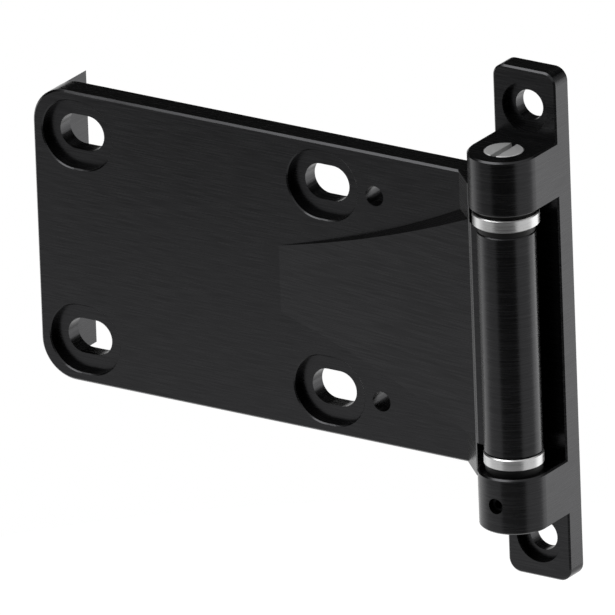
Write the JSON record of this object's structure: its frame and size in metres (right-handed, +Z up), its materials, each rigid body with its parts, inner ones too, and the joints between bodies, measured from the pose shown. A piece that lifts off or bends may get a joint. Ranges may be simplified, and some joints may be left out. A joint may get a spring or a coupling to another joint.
{
  "type": "pivot hinge",
  "caption": "Black brushed pivot hinge with a wide slotted door leaf on a long barrel and a narrow frame bracket with lugs and ears.",
  "frame": {"origin": "centre of the frame bracket's back face, which lies on the door frame", "axes": "+Z up along the hinge pin, +Y out of the bracket's back face into the frame, +X to the right; the closed leaf lies towards -X"},
  "size_m": [0.1808, 0.041, 0.159],
  "materials": {
    "black_metal": "brushed, black anodised",
    "bare_steel": "turned, satin",
    "black_screw": "black oxide",
    "black_polymer": "moulded, matt"
  },
  "bodies": {
    "frame": {"frame_bracket": "black_metal", "hinge_pin": "bare_steel", "pin_set_screw": "black_screw", "lower_slide_ring": "black_polymer", "lower_thrust_washer": "bare_steel", "upper_thrust_washer": "bare_steel", "upper_slide_ring": "black_polymer"},
    "leaf": {"door_leaf": "black_metal", "upper_bearing_bush": "black_polymer", "lower_bearing_bush": "black_polymer"}
  },
  "joints": [
    {"name": "leaf_swing", "type": "hinge", "parent": "frame", "child": "leaf", "pos_m": [0, -0.0184, 0], "axis": [0, 0, 1], "range_deg": [0, 180]}
  ]
}
